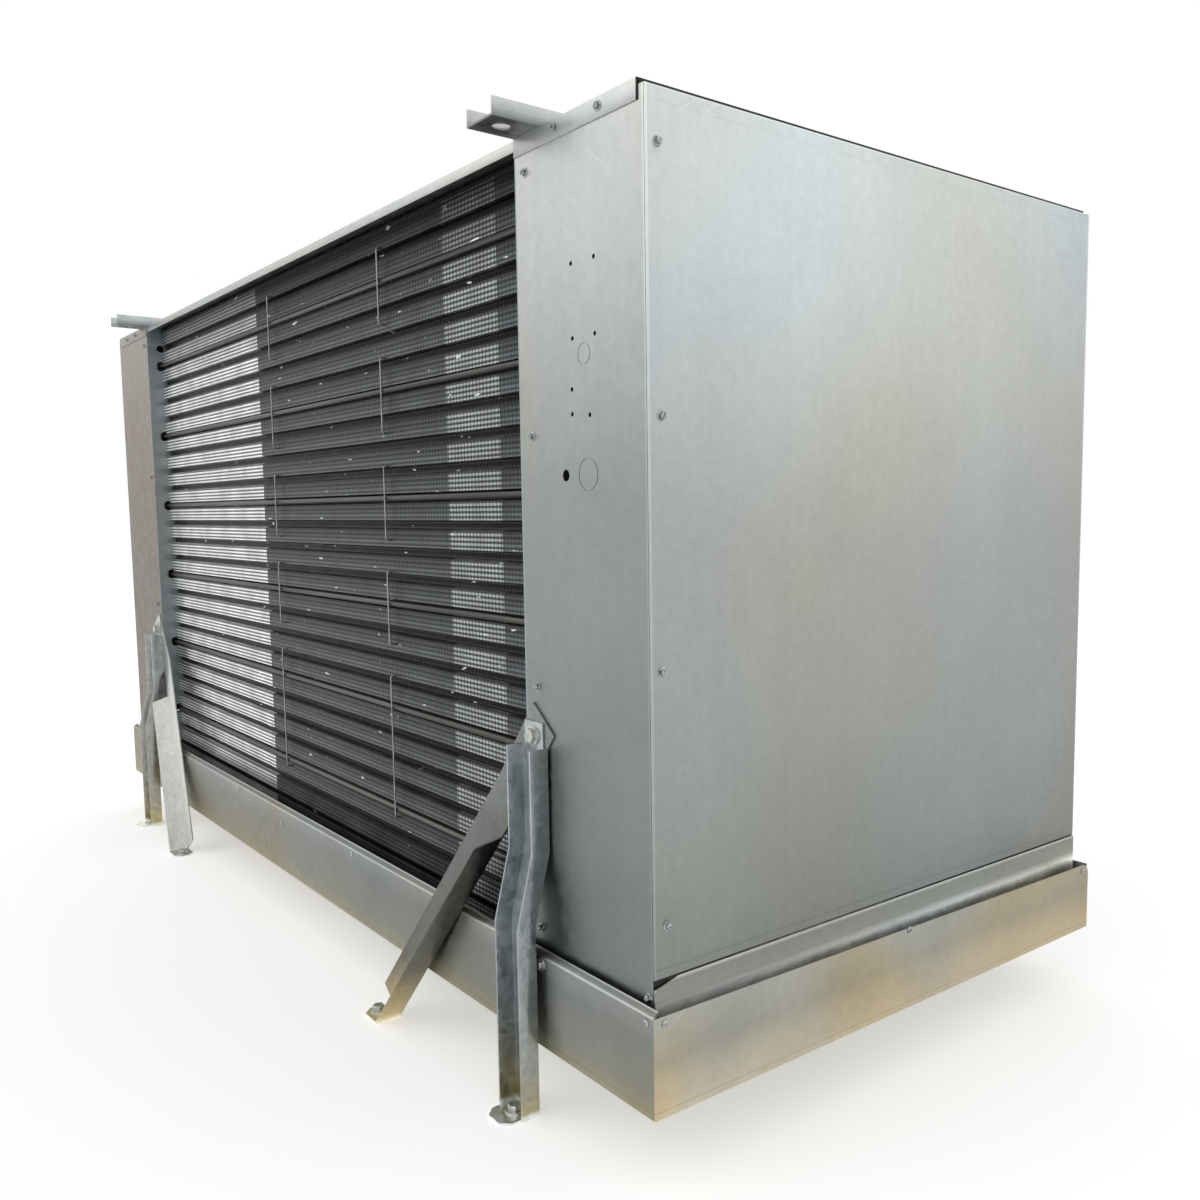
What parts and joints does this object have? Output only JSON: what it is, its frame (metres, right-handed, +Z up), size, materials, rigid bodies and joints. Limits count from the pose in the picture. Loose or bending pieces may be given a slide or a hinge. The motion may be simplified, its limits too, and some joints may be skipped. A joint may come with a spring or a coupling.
{
  "type": "refrigeration evaporator unit cooler",
  "caption": "Free-standing refrigeration evaporator: a galvanised cabinet with a finned coil and electric defrost rods, fans on the far side, a drain pan, roof hangers and braced legs.",
  "frame": {"origin": "on the floor, below the middle of the cabinet", "axes": "+Z up, +X along the cabinet towards its service end, coil side facing -Y, fan side facing +Y"},
  "size_m": [2.034, 0.926, 1.128],
  "materials": {
    "galvanised_sheet": "dull galvanised sheet with faint streaks",
    "pan_steel": "dull galvanised sheet, warmer and stained",
    "leg_steel": "galvanised steel with visible spangle",
    "fin_aluminium": "dull thin fins, dark between the edges",
    "rod_steel": "satin stainless sheath",
    "steel_wire": "bright zinc-plated wire",
    "motor_paint": "satin dark paint",
    "fan_aluminium": "mill-finish aluminium",
    "drain_brass": "dull brass"
  },
  "bodies": {
    "root": {"base_strip_left": "galvanised_sheet", "base_strip_right": "galvanised_sheet", "coil_brace_left": "leg_steel", "coil_brace_right": "leg_steel", "coil_column_left": "galvanised_sheet", "coil_column_right": "galvanised_sheet", "coil_post_left": "leg_steel", "coil_post_right": "leg_steel", "defrost_rod_1": "rod_steel", "defrost_rod_2": "rod_steel", "defrost_rod_3": "rod_steel", "defrost_rod_4": "rod_steel", "defrost_rod_5": "rod_steel", "defrost_rod_6": "rod_steel", "drain_outlet": "drain_brass", "drain_pan": "pan_steel", "end_cap_left": "galvanised_sheet", "end_cap_right": "galvanised_sheet", "end_panel_left": "galvanised_sheet", "end_panel_right": "galvanised_sheet", "fan_brace_left": "leg_steel", "fan_brace_right": "leg_steel", "fan_column_left": "galvanised_sheet", "fan_column_right": "galvanised_sheet", "fan_guard_left": "steel_wire", "fan_guard_right": "steel_wire", "fan_left": "fan_aluminium", "fan_motor_left": "motor_paint", "fan_motor_right": "motor_paint", "fan_panel": "galvanised_sheet", "fan_post_left": "leg_steel", "fan_post_right": "leg_steel", "fan_right": "fan_aluminium", "fin_pack": "fin_aluminium", "hanger_rail_left": "galvanised_sheet", "hanger_rail_right": "galvanised_sheet", "motor_mount_left": "galvanised_sheet", "motor_mount_right": "galvanised_sheet", "pan_end_left": "pan_steel", "pan_end_right": "pan_steel", "rod_clips_left": "steel_wire", "rod_clips_right": "steel_wire", "top_cover": "galvanised_sheet", "tube_sheet_left": "galvanised_sheet", "tube_sheet_right": "galvanised_sheet"}
  },
  "joints": []
}
